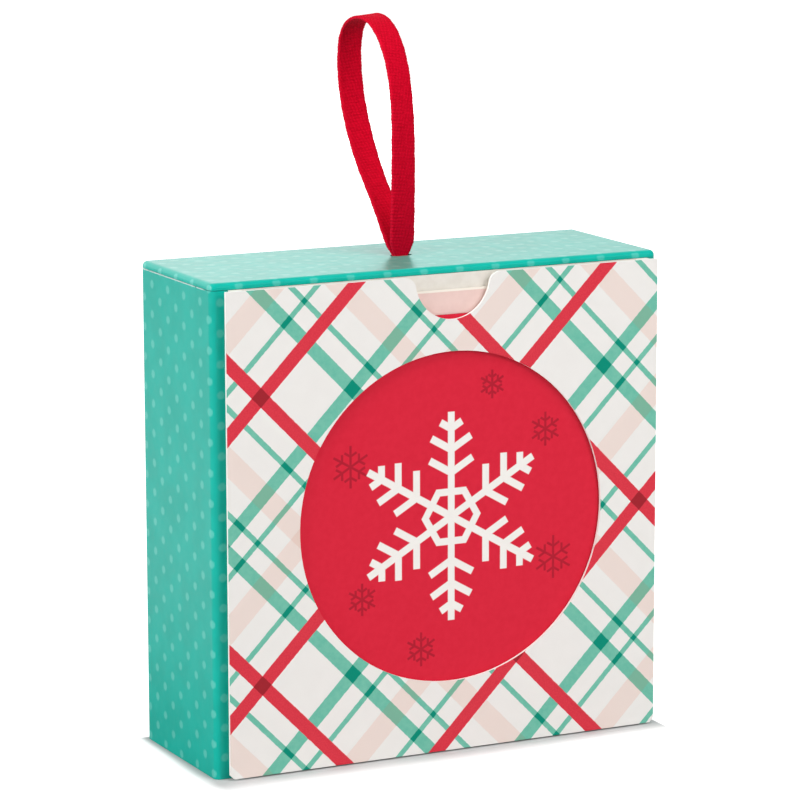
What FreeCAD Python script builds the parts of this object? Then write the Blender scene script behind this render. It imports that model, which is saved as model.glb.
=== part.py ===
import FreeCAD, Part
import math
import os

import Sketcher
from FreeCAD import Vector

# A gift card holder: a rigid paper-wrapped sleeve that stands upright, a drawer that lifts out of it by a
# ribbon loop on its lid, and a shallow pocket on the front with a round window and a thumb notch, from which
# a card insert slides. Millimetres, +Z up, front towards -Y, origin at the middle of the base.

doc = FreeCAD.newDocument("gift_card_holder")
sheet = doc.addObject("Spreadsheet::Sheet", "Sizes")

# Driving dimensions: name, value and what it measures
DRIVING = [
    ("shell_width", "102", "outer width of the sleeve"),
    ("shell_depth", "36", "outer depth of the sleeve without its pocket"),
    ("rim_height", "100.5", "height of the sleeve's rim and of the pocket's mouth"),
    ("edge_radius", "1.3", "outer rounding of the upright edges"),
    ("board_thick", "1.4", "greyboard of the sleeve"),
    ("paper_thick", "0.2", "printed wrap, liner and lining papers"),
    ("wrap_turn_in", "14", "length of wrap folded down inside the rim"),
    ("seam_gap", "0.1", "gap between the rim and the lid"),
    ("lid_thick", "1.4", "lid with its wrap"),
    ("lid_edge_radius", "1.1", "rounding of the lid's top edges"),
    ("lid_turn_in", "12", "width of wrap folded under the lid"),
    ("tray_clearance", "0.4", "running gap between tray and sleeve"),
    ("tray_floor_gap", "0.5", "gap under the tray"),
    ("tray_wall", "1", "board of the tray"),
    ("pocket_standoff", "2.2", "how far the pocket stands out of the sleeve's front"),
    ("panel_left_gap", "2.3", "front panel's left edge, in from the sleeve's side"),
    ("panel_right_gap", "0.9", "front panel's right edge, in from the sleeve's side"),
    ("panel_foot", "0.3", "height of the front panel's lower edge"),
    ("panel_thick", "0.6", "card of the front panel"),
    ("panel_corner_cut", "0.9", "clipped lower corners of the front panel"),
    ("window_offset", "1.3", "window and notch, sideways from the panel's middle"),
    ("window_top_gap", "6.6", "card left between the round window and the notch"),
    ("window_foot_gap", "14.8", "card left below the round window"),
    ("notch_radius", "8.6", "thumb notch"),
    ("notch_drop", "0.6", "notch centre below the mouth"),
    ("notch_shoulder", "2.4", "rounded shoulders of the notch"),
    ("back_card_thick", "0.35", "card behind the insert"),
    ("spacer_inset", "1.5", "spacer strips, in from the panel's edges"),
    ("spacer_width", "2.5", "spacer strips"),
    ("insert_clearance", "0.4", "gap between the insert and its spacers"),
    ("insert_seat_gap", "0.1", "gap under the insert"),
    ("carrier_thick", "0.35", "carrier card of the insert"),
    ("front_card_thick", "0.3", "coloured front card of the insert"),
    ("tape_thick", "0.1", "adhesive tape between the insert's cards"),
    ("tape_width", "2", "adhesive tape between the insert's cards"),
    ("carrier_drop", "3.2", "carrier card's top edge below the mouth"),
    ("front_card_drop", "8.3", "front card's top edge below the mouth"),
    ("card_corner_radius", "2", "top corners of the carrier card"),
    ("slot_offset", "0.1", "sideways place of the ribbon's slot"),
    ("slot_length", "4.8", "ribbon's slot along the lid"),
    ("slot_width", "2.6", "ribbon's slot across the lid"),
    ("ribbon_width", "5.7", "woven ribbon"),
    ("ribbon_thick", "0.7", "woven ribbon"),
    ("pinch_width", "4.2", "ribbon's width where it is drawn into the slot"),
    ("pinch_height", "3.2", "height over which the ribbon is drawn in"),
    ("hinge_lift", "0.8", "height of the ribbon's bend above the lid"),
    ("neck_gap", "0.05", "ribbon's neck ends this far below the lid's top"),
    ("knot_width", "9", "knot under the lid, along the lid"),
    ("knot_depth", "7", "knot under the lid, across the lid"),
    ("knot_height", "5", "how far the knot hangs down"),
    ("tail_length", "6", "ribbon's free ends below the knot"),
    ("tail_spread", "16", "lean of each free end in degrees"),
    ("overrun", "1", "how far cutting shapes run past what they cut"),
]

# Places worked out from the driving dimensions
DERIVED = [
    ("base_level", "=0"),
    ("half_width", "=shell_width / 2"),
    ("centre_y", "=pocket_standoff / 2"),
    ("front_y", "=centre_y - shell_depth / 2"),
    ("back_y", "=centre_y + shell_depth / 2"),
    ("board_half", "=half_width - paper_thick"),
    ("board_front", "=front_y + paper_thick"),
    ("board_back", "=back_y - paper_thick"),
    ("board_radius", "=edge_radius - paper_thick"),
    ("wall_half", "=board_half - board_thick"),
    ("wall_front", "=board_front + board_thick"),
    ("wall_back", "=board_back - board_thick"),
    ("cavity_half", "=wall_half - paper_thick"),
    ("cavity_front", "=wall_front + paper_thick"),
    ("cavity_back", "=wall_back - paper_thick"),
    ("floor_top", "=paper_thick + board_thick"),
    ("cavity_floor", "=floor_top + paper_thick"),
    ("board_top", "=rim_height - paper_thick"),
    ("turn_in_low", "=rim_height - wrap_turn_in"),
    ("lid_low", "=rim_height + seam_gap"),
    ("lid_top", "=lid_low + lid_thick"),
    ("lid_board_low", "=lid_low + paper_thick"),
    ("lid_board_top", "=lid_top - paper_thick"),
    ("lid_board_thick", "=lid_thick - 2 * paper_thick"),
    ("lid_board_radius", "=lid_edge_radius - paper_thick"),
    ("lining_half", "=half_width - lid_turn_in"),
    ("lining_front", "=front_y + lid_turn_in"),
    ("lining_back", "=back_y - lid_turn_in"),
    ("tray_half", "=cavity_half - tray_clearance"),
    ("tray_front", "=cavity_front + tray_clearance"),
    ("tray_back", "=cavity_back - tray_clearance"),
    ("tray_low", "=cavity_floor + tray_floor_gap"),
    ("tray_inner_half", "=tray_half - tray_wall"),
    ("tray_inner_back", "=tray_back - tray_wall"),
    ("tray_inner_low", "=tray_low + tray_wall"),
    ("lining_face", "=tray_inner_back - paper_thick"),
    ("head_low", "=lid_low - tray_wall"),
    ("panel_left", "=panel_left_gap - half_width"),
    ("panel_right", "=half_width - panel_right_gap"),
    ("panel_front", "=front_y - pocket_standoff"),
    ("panel_back", "=panel_front + panel_thick"),
    ("cut_x", "=(panel_left + panel_right) / 2 + window_offset"),
    ("notch_centre", "=rim_height - notch_drop"),
    ("window_top", "=notch_centre - notch_radius - window_top_gap"),
    ("window_low", "=panel_foot + window_foot_gap"),
    ("window_radius", "=(window_top - window_low) / 2"),
    ("window_height", "=(window_top + window_low) / 2"),
    ("shoulder_centre", "=rim_height - notch_shoulder"),
    ("above_rim", "=rim_height + overrun"),
    ("back_card_front", "=front_y - back_card_thick"),
    ("spacer_left", "=panel_left + spacer_inset"),
    ("spacer_right", "=panel_right - spacer_inset"),
    ("spacer_low", "=panel_foot + spacer_inset"),
    ("channel_left", "=spacer_left + spacer_width"),
    ("channel_right", "=spacer_right - spacer_width"),
    ("channel_low", "=spacer_low + spacer_width"),
    ("insert_left", "=channel_left + insert_clearance"),
    ("insert_right", "=channel_right - insert_clearance"),
    ("insert_low", "=channel_low + insert_seat_gap"),
    ("insert_stack", "=carrier_thick + tape_thick + front_card_thick"),
    ("insert_face_gap", "=(back_card_front - panel_back - insert_stack) / 2"),
    ("carrier_back", "=back_card_front - insert_face_gap"),
    ("carrier_front", "=carrier_back - carrier_thick"),
    ("front_card_back", "=carrier_front - tape_thick"),
    ("front_card_front", "=front_card_back - front_card_thick"),
    ("carrier_top", "=rim_height - carrier_drop"),
    ("front_card_top", "=rim_height - front_card_drop"),
    ("tape_left", "=insert_left + tape_width"),
    ("tape_right", "=insert_right - tape_width"),
    ("tape_low", "=insert_low + tape_width"),
    ("above_card", "=front_card_top + overrun"),
    ("slot_radius", "=slot_width / 2"),
    ("slot_reach", "=(slot_length - slot_width) / 2"),
    ("hinge_height", "=lid_top + hinge_lift"),
]

# Route of the ribbon's centre line as (y from the slot, z): up the front leg, over the crest, down the back leg
RIBBON_ROUTE = [
    (-0.4, 102.8),
    (-0.9, 111.0),
    (-1.3, 121.5),
    (-1.0, 133.1),
    (1.9, 143.2),
    (8.3, 149.7),
    (15.9, 151.0),
    (23.1, 148.3),
    (25.0, 140.8),
    (22.6, 130.3),
    (16.1, 119.9),
    (7.8, 111.6),
    (0.4, 102.8),
]
# Share of the shorter run that an arc of the route takes up
ARC_RUN_SHARE = 0.45
# Volume may differ from section times length by this share
VOLUME_SHARE = 0.01


def fill_sheet():
    """Writes the driving and the derived cells with their aliases."""
    rows = [(name, value, note) for name, value, note in DRIVING]
    rows += [(name, formula, "worked out") for name, formula in DERIVED]
    for row, (name, value, note) in enumerate(rows, start=1):
        sheet.set("A%d" % row, name)
        sheet.set("B%d" % row, value)
        sheet.set("C%d" % row, note)
        sheet.setAlias("B%d" % row, name)
    doc.recompute()


def value(name):
    """Number in the cell of that name; a leading minus gives its negative."""
    if name.startswith("-"):
        return -float(sheet.get(name[1:]))
    return float(sheet.get(name))


def cell(name):
    """Expression that reads the cell of that name."""
    if name.startswith("-"):
        return "-Sizes." + name[1:]
    return "Sizes." + name


def plate(name, x_span, y_span, z_span):
    """Flat rectangular piece between named places."""
    box = doc.addObject("Part::Box", name)
    box.Label = name
    sides = (("Length", "x", x_span), ("Width", "y", y_span), ("Height", "z", z_span))
    for prop, axis, (low, high) in sides:
        box.setExpression(prop, "%s - (%s)" % (cell(high), cell(low)))
        box.setExpression("Placement.Base." + axis, cell(low))
    return box


def new_body(name, axis, place):
    """Body that stands at a named place along one axis."""
    body = doc.addObject("PartDesign::Body", name)
    body.Label = name
    body.setExpression("Placement.Base." + axis, cell(place))
    return body


def new_sketch(body, role, name):
    """Sketch on one of the body's own origin planes."""
    sketch = body.newObject("Sketcher::SketchObject", name)
    plane = [item for item in body.Origin.OriginFeatures if item.Role == role][0]
    sketch.AttachmentSupport = (plane, [""])
    sketch.MapMode = "FlatFace"
    return sketch


def fix_point(sketch, geometry, point, x_name, y_name):
    """Ties a sketch point to named distances from the sketch's origin."""
    for kind, name in (("DistanceX", x_name), ("DistanceY", y_name)):
        if name is None:
            continue
        index = sketch.addConstraint(Sketcher.Constraint(kind, -1, 1, geometry, point, value(name)))
        sketch.setExpression("Constraints[%d]" % index, cell(name))


def rectangle(sketch, left, right, low, high):
    """Rectangle between named places."""
    corners = [
        Vector(value(left), value(low), 0),
        Vector(value(right), value(low), 0),
        Vector(value(right), value(high), 0),
        Vector(value(left), value(high), 0),
    ]
    first = sketch.GeometryCount
    for k in range(4):
        sketch.addGeometry(Part.LineSegment(corners[k], corners[(k + 1) % 4]))
    for k in range(4):
        sketch.addConstraint(Sketcher.Constraint("Coincident", first + k, 2, first + (k + 1) % 4, 1))
    for k in (0, 2):
        sketch.addConstraint(Sketcher.Constraint("Horizontal", first + k))
    for k in (1, 3):
        sketch.addConstraint(Sketcher.Constraint("Vertical", first + k))
    fix_point(sketch, first, 1, left, low)
    fix_point(sketch, first + 1, 2, right, high)


def slot(sketch, middle_name, level_name, reach_name, radius_name):
    """Slot with round ends along the sketch's X, centred on the named place."""
    low_x = value(middle_name) - value(reach_name)
    high_x = value(middle_name) + value(reach_name)
    level = value(level_name)
    radius = value(radius_name)
    up = Vector(0, 0, 1)
    right_arc = Part.Circle(Vector(high_x, level, 0), up, radius)
    left_arc = Part.Circle(Vector(low_x, level, 0), up, radius)
    quarter = math.pi / 2
    sketch.addGeometry(Part.ArcOfCircle(right_arc, -quarter, quarter))
    sketch.addGeometry(Part.LineSegment(Vector(high_x, level + radius, 0), Vector(low_x, level + radius, 0)))
    sketch.addGeometry(Part.ArcOfCircle(left_arc, quarter, 3 * quarter))
    sketch.addGeometry(Part.LineSegment(Vector(low_x, level - radius, 0), Vector(high_x, level - radius, 0)))
    for first, second in ((0, 1), (1, 2), (2, 3), (3, 0)):
        sketch.addConstraint(Sketcher.Constraint("Tangent", first, 2, second, 1))
    sketch.addConstraint(Sketcher.Constraint("Equal", 0, 2))
    radius_rule = sketch.addConstraint(Sketcher.Constraint("Radius", 0, radius))
    sketch.setExpression("Constraints[%d]" % radius_rule, cell(radius_name))
    for arc in (0, 2):
        rule = sketch.addConstraint(Sketcher.Constraint("DistanceY", -1, 1, arc, 3, level))
        sketch.setExpression("Constraints[%d]" % rule, cell(level_name))
    for arc, sign, place in ((0, "+", high_x), (2, "-", low_x)):
        rule = sketch.addConstraint(Sketcher.Constraint("DistanceX", -1, 1, arc, 3, place))
        formula = "%s %s %s" % (cell(middle_name), sign, cell(reach_name))
        sketch.setExpression("Constraints[%d]" % rule, formula)


def pad(body, sketch, low, high, backwards=False):
    """Pad whose length is the distance between two named places."""
    feature = body.newObject("PartDesign::Pad", body.Name + "_pad")
    feature.Profile = sketch
    feature.setExpression("Length", "%s - (%s)" % (cell(high), cell(low)))
    feature.Reversed = backwards
    sketch.Visibility = False
    doc.recompute()
    return feature


def cut_through(body, sketch, backwards=False):
    """Pocket through the whole body; it has to take material away."""
    before = body.Shape.Volume
    feature = body.newObject("PartDesign::Pocket", sketch.Name + "_cut")
    feature.Profile = sketch
    feature.Type = "ThroughAll"
    feature.Reversed = backwards
    doc.recompute()
    if body.Shape.Volume >= before:
        raise RuntimeError(sketch.Name + " cuts nothing")
    return feature


def edge_names(feature, wanted):
    """Names of the feature's edges whose two ends pass a test."""
    names = []
    for index, edge in enumerate(feature.Shape.Edges, start=1):
        if len(edge.Vertexes) == 2 and wanted(edge.Vertexes[0].Point, edge.Vertexes[1].Point):
            names.append("Edge%d" % index)
    return names


def near(first, second):
    """True where two lengths are the same."""
    return math.isclose(first, second, abs_tol=value("paper_thick") / 100)


def upright(first, second):
    """Test for an edge along Z."""
    return near(first.x, second.x) and near(first.y, second.y)


def round_edges(body, base, wanted, radius_name):
    """Fillet on the edges that pass a test."""
    feature = body.newObject("PartDesign::Fillet", body.Name + "_round")
    feature.Base = (base, edge_names(base, wanted))
    feature.setExpression("Radius", cell(radius_name))
    doc.recompute()
    return feature


def rounded_block(name, x_span, y_span, z_span, radius_name):
    """Upright block with all four upright edges rounded."""
    body = new_body(name, "z", z_span[0])
    outline = new_sketch(body, "XY_Plane", name + "_outline")
    rectangle(outline, x_span[0], x_span[1], y_span[0], y_span[1])
    base = pad(body, outline, z_span[0], z_span[1])
    round_edges(body, base, upright, radius_name)
    return body


def wall_board(name, y_span, outer_name):
    """Front or back board of the sleeve, with its two outer upright edges rounded."""
    body = new_body(name, "z", "paper_thick")
    outline = new_sketch(body, "XY_Plane", name + "_outline")
    rectangle(outline, "-board_half", "board_half", y_span[0], y_span[1])
    base = pad(body, outline, "paper_thick", "board_top")
    outer = value(outer_name)
    round_edges(body, base, lambda a, b: upright(a, b) and near(a.y, outer), "board_radius")
    return body


def join(kind, name, base, tool):
    """Cut or fusion of two objects."""
    feature = doc.addObject("Part::" + kind, name)
    feature.Label = name
    feature.Base = base
    feature.Tool = tool
    doc.recompute()
    return feature


def sleeve_wrap():
    """Printed wrap: outer skin, fold over the rim and turn-in down the inside."""
    outer = rounded_block("wrap_outer", ("-half_width", "half_width"), ("front_y", "back_y"),
                          ("paper_thick", "rim_height"), "edge_radius")
    boards = rounded_block("wrap_boards", ("-board_half", "board_half"), ("board_front", "board_back"),
                           ("paper_thick", "board_top"), "board_radius")
    skin = join("Cut", "wrap_skin", outer, boards)
    turned = plate("wrap_turned", ("-wall_half", "wall_half"), ("wall_front", "wall_back"),
                   ("turn_in_low", "rim_height"))
    folded = join("Fuse", "wrap_folded", skin, turned)
    mouth = plate("wrap_mouth", ("-cavity_half", "cavity_half"), ("cavity_front", "cavity_back"),
                  ("cavity_floor", "above_rim"))
    return join("Cut", "sleeve_wrap", folded, mouth)


def sleeve_liner():
    """Paper lining of the sleeve: floor and four walls up to the turn-in."""
    body = new_body("sleeve_liner", "z", "floor_top")
    outline = new_sketch(body, "XY_Plane", "liner_outline")
    rectangle(outline, "-wall_half", "wall_half", "wall_front", "wall_back")
    pad(body, outline, "floor_top", "turn_in_low")
    hollow = new_sketch(body, "XY_Plane", "liner_hollow")
    rectangle(hollow, "-cavity_half", "cavity_half", "cavity_front", "cavity_back")
    hollow.setExpression("AttachmentOffset.Base.z", cell("paper_thick"))
    cut_through(body, hollow, backwards=True)
    return body


def front_panel():
    """Die-cut front panel with its window, thumb notch and clipped lower corners."""
    body = new_body("pocket_front_panel", "y", "panel_back")
    outline = new_sketch(body, "XZ_Plane", "panel_outline")
    rectangle(outline, "panel_left", "panel_right", "panel_foot", "rim_height")
    base = pad(body, outline, "panel_front", "panel_back")
    foot = value("panel_foot")
    corners = edge_names(base, lambda a, b: near(a.x, b.x) and near(a.z, foot) and near(b.z, foot))
    clip = body.newObject("PartDesign::Chamfer", "panel_clip")
    clip.Base = (base, corners)
    clip.setExpression("Size", cell("panel_corner_cut"))
    doc.recompute()
    window = new_sketch(body, "XZ_Plane", "panel_window")
    middle = Vector(value("cut_x"), value("window_height"), 0)
    window.addGeometry(Part.Circle(middle, Vector(0, 0, 1), value("window_radius")))
    radius_rule = window.addConstraint(Sketcher.Constraint("Radius", 0, value("window_radius")))
    window.setExpression("Constraints[%d]" % radius_rule, cell("window_radius"))
    fix_point(window, 0, 3, "cut_x", "window_height")
    cut_through(body, window, backwards=True)
    notch = new_sketch(body, "XZ_Plane", "panel_notch")
    notch_outline(notch)
    cut_through(body, notch, backwards=True)
    return body


def notch_outline(sketch):
    """Round notch whose rounded shoulders run into the panel's top edge."""
    radius = value("notch_radius")
    shoulder = value("notch_shoulder")
    middle = Vector(value("cut_x"), value("notch_centre"), 0)
    drop = value("shoulder_centre") - value("notch_centre")
    reach = math.sqrt((radius + shoulder) ** 2 - drop ** 2)
    lean = math.atan2(drop, reach)
    up = Vector(0, 0, 1)
    left = Vector(middle.x - reach, value("shoulder_centre"), 0)
    right = Vector(middle.x + reach, value("shoulder_centre"), 0)
    top = value("above_rim")
    left_rim = Vector(left.x, left.y + shoulder, 0)
    right_rim = Vector(right.x, right.y + shoulder, 0)
    left_top = Vector(left.x, top, 0)
    right_top = Vector(right.x, top, 0)
    # geometry: 0 left shoulder, 1 notch, 2 right shoulder, 3 to 5 closing lines above the rim
    sketch.addGeometry(Part.ArcOfCircle(Part.Circle(left, up, shoulder), -lean, math.pi / 2))
    sketch.addGeometry(Part.ArcOfCircle(Part.Circle(middle, up, radius), math.pi - lean, 2 * math.pi + lean))
    sketch.addGeometry(Part.ArcOfCircle(Part.Circle(right, up, shoulder), math.pi / 2, math.pi + lean))
    sketch.addGeometry(Part.LineSegment(right_rim, right_top))
    sketch.addGeometry(Part.LineSegment(right_top, left_top))
    sketch.addGeometry(Part.LineSegment(left_top, left_rim))
    rules = [
        ("Tangent", 0, 1, 1, 1),
        ("Tangent", 1, 2, 2, 2),
        ("Coincident", 2, 1, 3, 1),
        ("Coincident", 3, 2, 4, 1),
        ("Coincident", 4, 2, 5, 1),
        ("Coincident", 5, 2, 0, 2),
        ("Vertical", 3),
        ("Horizontal", 4),
        ("Vertical", 5),
        ("Vertical", 0, 3, 0, 2),
        ("Vertical", 2, 3, 2, 1),
    ]
    for rule in rules:
        sketch.addConstraint(Sketcher.Constraint(*rule))
    for arc, name in ((0, "notch_shoulder"), (1, "notch_radius"), (2, "notch_shoulder")):
        rule = sketch.addConstraint(Sketcher.Constraint("Radius", arc, value(name)))
        sketch.setExpression("Constraints[%d]" % rule, cell(name))
    fix_point(sketch, 1, 3, "cut_x", "notch_centre")
    fix_point(sketch, 0, 3, None, "shoulder_centre")
    fix_point(sketch, 2, 3, None, "shoulder_centre")
    fix_point(sketch, 4, 1, None, "above_rim")


def card(name, back_name, front_name, top_name):
    """Card of the insert, standing in the pocket."""
    body = new_body(name, "y", back_name)
    outline = new_sketch(body, "XZ_Plane", name + "_outline")
    rectangle(outline, "insert_left", "insert_right", "insert_low", top_name)
    return body, pad(body, outline, front_name, back_name)


def carrier_card():
    """Taller card of the insert, with rounded top corners."""
    body, base = card("insert_carrier_card", "carrier_back", "carrier_front", "carrier_top")
    top = value("carrier_top")
    corners = lambda a, b: near(a.x, b.x) and near(a.z, top) and near(b.z, top)
    round_edges(body, base, corners, "card_corner_radius")
    return body


def insert_tape():
    """Adhesive tape along both sides and the foot, which leaves a sleeve between the insert's cards."""
    body, base = card("insert_tape", "carrier_front", "front_card_back", "front_card_top")
    inside = new_sketch(body, "XZ_Plane", "tape_inside")
    rectangle(inside, "tape_left", "tape_right", "tape_low", "above_card")
    cut_through(body, inside, backwards=True)
    return body


def slotted_plate(name, x_span, y_span, z_span):
    """Flat piece of the drawer's top with the ribbon's slot through it."""
    body = new_body(name, "z", z_span[0])
    outline = new_sketch(body, "XY_Plane", name + "_outline")
    rectangle(outline, x_span[0], x_span[1], y_span[0], y_span[1])
    base = pad(body, outline, z_span[0], z_span[1])
    return body, base


def ribbon_slot(body):
    """Cuts the ribbon's slot through a piece of the drawer's top."""
    hole = new_sketch(body, "XY_Plane", body.Name + "_slot")
    slot(hole, "slot_offset", "centre_y", "slot_reach", "slot_radius")
    cut_through(body, hole, backwards=True)


def lid_core(name):
    """Lid board, with its upright and top edges rounded for the wrap."""
    body, base = slotted_plate(name, ("-board_half", "board_half"), ("board_front", "board_back"),
                               ("lid_board_low", "lid_board_top"))
    rounded = round_edges(body, base, upright, "board_radius")
    crown = value("lid_board_thick")
    feature = body.newObject("PartDesign::Fillet", name + "_crown")
    feature.Base = (rounded, edge_names(rounded, lambda a, b: near(a.z, crown) and near(b.z, crown)))
    feature.setExpression("Radius", cell("lid_board_radius"))
    doc.recompute()
    return body


def lid_wrap():
    """Printed wrap of the lid: top, rounded edges and the turn-in under it."""
    outer, base = slotted_plate("lid_outer", ("-half_width", "half_width"), ("front_y", "back_y"),
                                ("lid_low", "lid_top"))
    rounded = round_edges(outer, base, upright, "edge_radius")
    crown = value("lid_thick")
    feature = outer.newObject("PartDesign::Fillet", "lid_outer_crown")
    feature.Base = (rounded, edge_names(rounded, lambda a, b: near(a.z, crown) and near(b.z, crown)))
    feature.setExpression("Radius", cell("lid_edge_radius"))
    doc.recompute()
    ribbon_slot(outer)
    under = plate("lid_under", ("-lining_half", "lining_half"), ("lining_front", "lining_back"),
                  ("lid_low", "lid_board_low"))
    hollow = doc.addObject("Part::MultiFuse", "lid_hollow")
    hollow.Shapes = [lid_core("lid_inner"), under]
    return join("Cut", "lid_wrap", outer, hollow)


def ribbon_knot():
    """Neck through the slot, knot under the drawer's head wall and the ribbon's two free ends."""
    lump = doc.addObject("Part::Ellipsoid", "knot_lump")
    lump.setExpression("Radius1", cell("knot_height"))
    lump.setExpression("Radius2", cell("knot_width") + " / 2")
    lump.setExpression("Radius3", cell("knot_depth") + " / 2")
    lump.setExpression("Placement.Base.x", cell("slot_offset"))
    lump.setExpression("Placement.Base.y", cell("centre_y"))
    lump.setExpression("Placement.Base.z", cell("head_low"))
    seat = doc.addObject("Part::Box", "knot_seat")
    seat.setExpression("Length", cell("knot_width"))
    seat.setExpression("Width", cell("knot_depth"))
    seat.setExpression("Height", cell("knot_height"))
    seat.setExpression("Placement.Base.x", "%s - %s / 2" % (cell("slot_offset"), cell("knot_width")))
    seat.setExpression("Placement.Base.y", "%s - %s / 2" % (cell("centre_y"), cell("knot_depth")))
    seat.setExpression("Placement.Base.z", cell("head_low"))
    half_lump = join("Cut", "knot_half", lump, seat)
    neck = doc.addObject("Part::Box", "knot_neck")
    neck.setExpression("Length", cell("pinch_width"))
    neck.setExpression("Width", "2 * " + cell("ribbon_thick"))
    neck.setExpression("Height", "%s - %s - %s" % (cell("lid_top"), cell("neck_gap"), cell("head_low")))
    neck.setExpression("Placement.Base.x", "%s - %s / 2" % (cell("slot_offset"), cell("pinch_width")))
    neck.setExpression("Placement.Base.y", "%s - %s" % (cell("centre_y"), cell("ribbon_thick")))
    neck.setExpression("Placement.Base.z", cell("head_low"))
    pieces = [half_lump, neck]
    for side, lean in (("left", 1), ("right", -1)):
        tail = doc.addObject("Part::Box", "knot_tail_" + side)
        tail.setExpression("Length", cell("ribbon_width"))
        tail.setExpression("Width", cell("ribbon_thick"))
        tail.setExpression("Height", "%s + %s / 2" % (cell("tail_length"), cell("knot_height")))
        turn = FreeCAD.Rotation(Vector(0, 1, 0), lean * value("tail_spread"))
        drop = value("tail_length") + value("knot_height")
        low_corner = Vector(-value("ribbon_width") / 2, -value("ribbon_thick") / 2, -drop)
        corner = turn.multVec(low_corner)
        foot_y = value("centre_y") + lean * value("ribbon_thick")
        foot = Vector(value("slot_offset"), foot_y, value("head_low"))
        tail.Placement = FreeCAD.Placement(foot + corner, turn)
        pieces.append(tail)
    knot = doc.addObject("Part::MultiFuse", "ribbon_knot")
    knot.Label = "ribbon_knot"
    knot.Shapes = pieces
    doc.recompute()
    return knot


def left_of(heading):
    """Unit vector to the left of a heading within the route's plane."""
    return Vector(0, -heading.z, heading.y).normalize()


def line(first, last):
    """Straight edge between two points."""
    return Part.LineSegment(first, last).toShape()


def route_edges(points, offset):
    """Straight runs and tangent arcs along a route of (y, z) points, moved to the left by an offset."""
    corners = [Vector(0, y, z) for y, z in points]
    first = corners[0] + left_of(corners[1] - corners[0]) * offset
    last = corners[-1] + left_of(corners[-1] - corners[-2]) * offset
    edges = []
    radii = []
    start = first
    for k in range(1, len(corners) - 1):
        before = corners[k] - corners[k - 1]
        after = corners[k + 1] - corners[k]
        setback = ARC_RUN_SHARE * min(before.Length, after.Length)
        radius = setback / math.tan(before.getAngle(after) / 2)
        arrive = corners[k] - before * (setback / before.Length)
        leave = corners[k] + after * (setback / after.Length)
        side = 1 if before.cross(after).x > 0 else -1
        centre = arrive + left_of(before) * (side * radius)
        spokes = [(point - centre).normalize() for point in (arrive, corners[k], leave)]
        arc = [centre + spoke * (radius - side * offset) for spoke in spokes]
        edges.append(line(start, arc[0]))
        edges.append(Part.Arc(*arc).toShape())
        radii.append(radius)
        start = arc[2]
    edges.append(line(start, last))
    return edges, radii, first, last


def ribbon_loop():
    """Flat ribbon loop above the lid, drawn in where it enters the slot."""
    thick = value("ribbon_thick")
    width = value("ribbon_width")
    middle, radii, _, _ = route_edges(RIBBON_ROUTE, 0)
    left, _, left_first, left_last = route_edges(RIBBON_ROUTE, thick / 2)
    right, _, right_first, right_last = route_edges(RIBBON_ROUTE, -thick / 2)
    ends = [line(left_first, right_first), line(left_last, right_last)]
    outline = Part.Wire(Part.__sortEdges__(left + right + ends))
    band = Part.Face(outline).extrude(Vector(width, 0, 0))
    length = sum(edge.Length for edge in middle)
    expected = length * thick * width
    print("ribbon radii", [round(radius, 1) for radius in radii], "length", round(length, 1))
    print("ribbon volume", round(band.Volume, 2), "expected", round(expected, 2))
    if abs(band.Volume - expected) > VOLUME_SHARE * expected:
        raise RuntimeError("ribbon volume is off")
    # the ribbon bends about a round knuckle just above the slot
    axis_start = Vector(0, 0, value("hinge_height"))
    knuckle = Part.makeCylinder(thick, width, axis_start, Vector(1, 0, 0))
    loop = band.fuse(knuckle).common(ribbon_front_outline()).removeSplitter()
    feature = doc.addObject("Part::Feature", "ribbon_loop")
    feature.Label = "ribbon_loop"
    feature.Shape = loop.Solids[0]
    feature.Placement.Base = Vector(value("slot_offset") - width / 2, value("centre_y"), 0)
    return feature


def ribbon_front_outline():
    """Block with the ribbon's outline seen from the front: full width, with its foot drawn in by two arcs."""
    width = value("ribbon_width")
    inset = (width - value("pinch_width")) / 2
    rise = value("pinch_height")
    radius = (rise ** 2 + inset ** 2) / (2 * inset)
    foot = value("lid_top")
    crest = max(z for y, z in RIBBON_ROUTE) + value("overrun")
    near_y = min(y for y, z in RIBBON_ROUTE) - value("overrun")
    far_y = max(y for y, z in RIBBON_ROUTE) + value("overrun")
    half_turn = math.asin(rise / radius) / 2
    bow = radius * (1 - math.cos(half_turn))
    bow_rise = rise - radius * math.sin(half_turn)
    left = [Vector(inset, near_y, foot), Vector(bow, near_y, foot + bow_rise), Vector(0, near_y, foot + rise)]
    right = [Vector(width - point.x, near_y, point.z) for point in left]
    left_top = Vector(0, near_y, crest)
    right_top = Vector(width, near_y, crest)
    edges = [
        Part.Arc(*left).toShape(),
        line(left[2], left_top),
        line(left_top, right_top),
        line(right_top, right[2]),
        Part.Arc(right[2], right[1], right[0]).toShape(),
        line(right[0], left[0]),
    ]
    return Part.Face(Part.Wire(edges)).extrude(Vector(0, far_y - near_y, 0))


def build_sleeve():
    """Sleeve: boards, base sheet, wrap and liner."""
    boards_y = ("wall_front", "wall_back")
    return [
        rounded_block("sleeve_base_sheet", ("-half_width", "half_width"), ("front_y", "back_y"),
                      ("base_level", "paper_thick"), "edge_radius"),
        plate("sleeve_bottom_board", ("-wall_half", "wall_half"), boards_y, ("paper_thick", "floor_top")),
        wall_board("sleeve_front_board", ("board_front", "wall_front"), "board_front"),
        wall_board("sleeve_back_board", ("wall_back", "board_back"), "board_back"),
        plate("sleeve_left_board", ("-board_half", "-wall_half"), boards_y, ("paper_thick", "board_top")),
        plate("sleeve_right_board", ("wall_half", "board_half"), boards_y, ("paper_thick", "board_top")),
        sleeve_wrap(),
        sleeve_liner(),
    ]


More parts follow.
